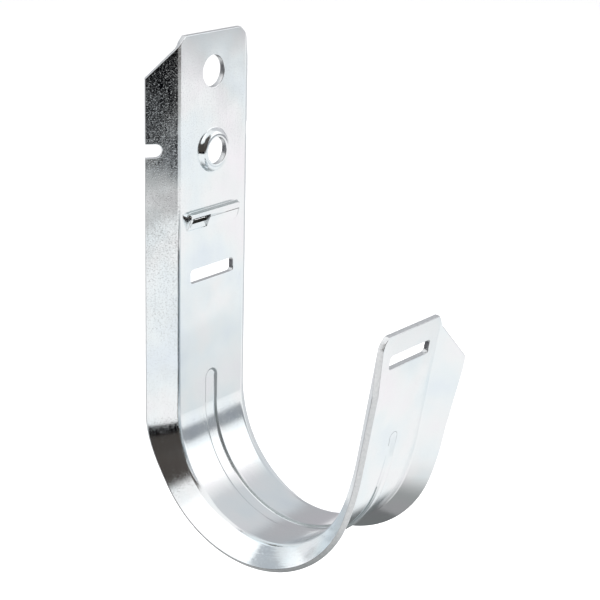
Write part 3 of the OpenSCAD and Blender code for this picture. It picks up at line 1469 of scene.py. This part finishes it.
@dataclass(frozen=True)
class PaintedShade:
    """Near-black painted shade: the shadow in the recess behind the bridge's shelf and the thin shadow line
    below its crest.
    """

    name: str = "torn_edge"
    tints: Stops = ((0.3, (0.015, 0.015, 0.012)), (0.7, (0.06, 0.058, 0.05)))
    marks_scale: float = 1800.0
    metallic: float = 0.2
    rough: float = 0.6

    def material(self) -> bpy.types.Material:
        """Builds the material.

        Returns:
            The material, which reads Object coordinates.
        """
        mat, n = Nodes.of_material(self.name)
        marks = n.noise(n.add("TexCoord")["Object"], self.marks_scale, 2.0, 0.6)
        n.surface("BsdfPrincipled", {"Base Color": n.ramp(marks, self.tints), "Metallic": self.metallic,
                                     "Roughness": self.rough})
        return mat


# The last two finishes are painted shade: near black in the bridge's recess, grey on the pressed walls
FINISHES = {Finish.PLATE: ZincPlate(), Finish.SHEARED: ShearedEdge(), Finish.TORN: PaintedShade(),
            Finish.CREASE: WallShade()}


# ---------------------------------------------------------------- studio


@dataclass(frozen=True)
class SkyPatch:
    """A soft patch of the studio's surroundings, in degrees round and above the horizon."""

    round_from: float
    round_to: float
    low: float
    high: float
    soft: float
    colour: Colour
    soft_up: float = 0.0


@dataclass
class Studio:
    """White tent with a dark room behind the camera, a pale floor and soft light from above."""

    MIX_IN: ClassVar[tuple[int, int, int]] = (0, 6, 7)  # Share, first and second colour of a Mix node
    MIX_OUT: ClassVar[int] = 2

    camera_round: float = 37.349
    camera_up: float = 18.232
    camera_roll: float = 1.443
    distance: float = 0.39946
    target: Triple = (0.026623, 0.0, -0.049751)
    lens: float = 103.915
    sensor: float = 36.0
    near_limit: float = 0.01
    tent: Colour = (1.0, 1.0, 1.0)
    floor_gap: float = 0.10
    floor_size: float = 12.0
    floor_paint: Colour = (0.94, 0.94, 0.94)
    lamp_size: float = 1.6
    lamp_power: float = 22.0
    lamp_place: Triple = (0.1, 0.1, 1.1)
    patches: tuple[SkyPatch, ...] = (
        SkyPatch(-200, 200, -100, -72, 1, (0.33, 0.34, 0.34), 28),
        SkyPatch(104, 150, -80, -30, 18, (0.17, 0.18, 0.18), 10),
        SkyPatch(104, 135, -26, -8, 10, (0.66, 0.68, 0.70), 8),
        SkyPatch(72, 175, 5, 55, 16, (0.66, 0.67, 0.69), 12),
        SkyPatch(30, 58, 11, 30, 8, (1.3, 1.3, 1.3)),
        SkyPatch(-160, -48, 50, 90, 10, (1.3, 1.3, 1.3)),
        SkyPatch(30, 70, -27.0, -20.6, 8, (0.80, 0.82, 0.83), 3.0),
        SkyPatch(116, 150, 6, 29, 10, (0.46, 0.46, 0.48)),
        SkyPatch(-200, -161.5, 15, 49, 4, (0.50, 0.52, 0.55)),
        SkyPatch(15, 75, -7, -0.5, 10, (0.34, 0.35, 0.37), 5),
        SkyPatch(-110, 20, -8.3, 28, 8, (0.072, 0.062, 0.056), 7.5),
        SkyPatch(-26, 14, 12, 43, 8, (0.10, 0.09, 0.085), 8),
        SkyPatch(-110, -10, -13.5, -7.4, 5, (0.002, 0.002, 0.003), 2.4),
        SkyPatch(-150, -110, -45, 15, 12, (0.08, 0.08, 0.09)),
    )

    def camera(self) -> None:
        """Adds the camera and makes it the scene's own."""
        turn, up, roll = (math.radians(a) for a in (self.camera_round, self.camera_up, self.camera_roll))
        right = Vector((math.cos(turn), math.sin(turn), 0))
        ahead = Vector((-math.sin(turn) * math.cos(up), math.cos(turn) * math.cos(up), -math.sin(up)))
        above = right.cross(ahead)
        x = right * math.cos(roll) + above * math.sin(roll)
        y = above * math.cos(roll) - right * math.sin(roll)
        data = bpy.data.cameras.new("camera")
        data.lens, data.sensor_width, data.clip_start = self.lens, self.sensor, self.near_limit
        camera = bpy.data.objects.new("camera", data)
        bpy.context.scene.collection.objects.link(camera)
        place = Matrix((x, y, -ahead)).transposed().to_4x4()
        place.translation = Vector(self.target) - self.distance * ahead
        camera.matrix_world = place
        bpy.context.scene.camera = camera

    def world(self) -> None:
        """Builds the surroundings: what the metal sees, and plain white for the camera."""
        world = bpy.data.worlds.new("studio")
        bpy.context.scene.world = world
        world.use_nodes = True
        n = Nodes(world.node_tree)
        east, north, height = n.add("SeparateXYZ", {"Vector": n.add("TexCoord")["Generated"]})
        round_ = n.math("MULTIPLY", n.math("ARCTAN2", north, east), math.degrees(1))
        up = n.math("MULTIPLY", n.math("ARCSINE", height), math.degrees(1))
        colour = n.add("RGB")[0]
        colour.default_value = (*self.tent, 1)
        for p in self.patches:
            mask = n.math("MULTIPLY", n.window(round_, p.round_from, p.round_to, p.soft),
                          n.window(up, p.low, p.high, p.soft_up or p.soft))
            mix = dict(zip(self.MIX_IN, (mask, colour, (*p.colour, 1))))
            colour = n.add("Mix", mix, data_type="RGBA")[self.MIX_OUT]
        seen = n.add("Background", {"Color": (1, 1, 1, 1), "Strength": 1.0})[0]
        tent = n.add("Background", {"Color": colour, "Strength": 1.0})[0]
        ray = n.add("LightPath")["Is Camera Ray"]
        n.add("OutputWorld", {"Surface": n.add("MixShader", {0: ray, 1: tent, 2: seen})[0]})

    def floor(self, lowest: float) -> None:
        """Adds the pale floor below the hanging hook.

        Args:
            lowest: Height of the hook's lowest point.
        """
        bpy.ops.object.select_all(action="DESELECT")
        bpy.ops.mesh.primitive_plane_add(size=self.floor_size, location=(0, 0, lowest - self.floor_gap))
        floor = bpy.context.active_object
        floor.name = "floor"
        mat, n = Nodes.of_material("pale_floor")
        n.surface("BsdfDiffuse", {"Color": (*self.floor_paint, 1)})
        floor.data.materials.append(mat)
        floor.visible_glossy = False
        floor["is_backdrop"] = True

    def lamp(self) -> None:
        """Adds the wide soft light above."""
        data = bpy.data.lights.new("soft_box", "AREA")
        data.shape = "RECTANGLE"
        data.size = data.size_y = self.lamp_size
        data.energy = self.lamp_power
        lamp = bpy.data.objects.new("soft_box", data)
        lamp.location = self.lamp_place
        lamp.visible_glossy = False
        bpy.context.scene.collection.objects.link(lamp)


def main() -> None:
    """Builds the studio and the strip."""
    logging.basicConfig(level=logging.INFO, format="%(name)s: %(message)s")
    cad_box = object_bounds()
    studio = Studio()
    studio.camera()
    studio.world()
    studio.lamp()
    studio.floor(cad_box[0][2])
    log.info("studio: camera, %d patches of surroundings, lamp and floor", len(studio.patches))
    finishes = [FINISHES[finish].material() for finish in Finish]
    piece = HookMaker(Strip(), frame["record"], finishes).build()
    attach(piece, "root")
    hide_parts(NODE)
    log.info("%s: %d faces, %d finishes", piece.name, len(piece.data.polygons), len(finishes))
    bpy.context.scene.view_settings.view_transform = "Standard"


if __name__ == "__main__":
    main()
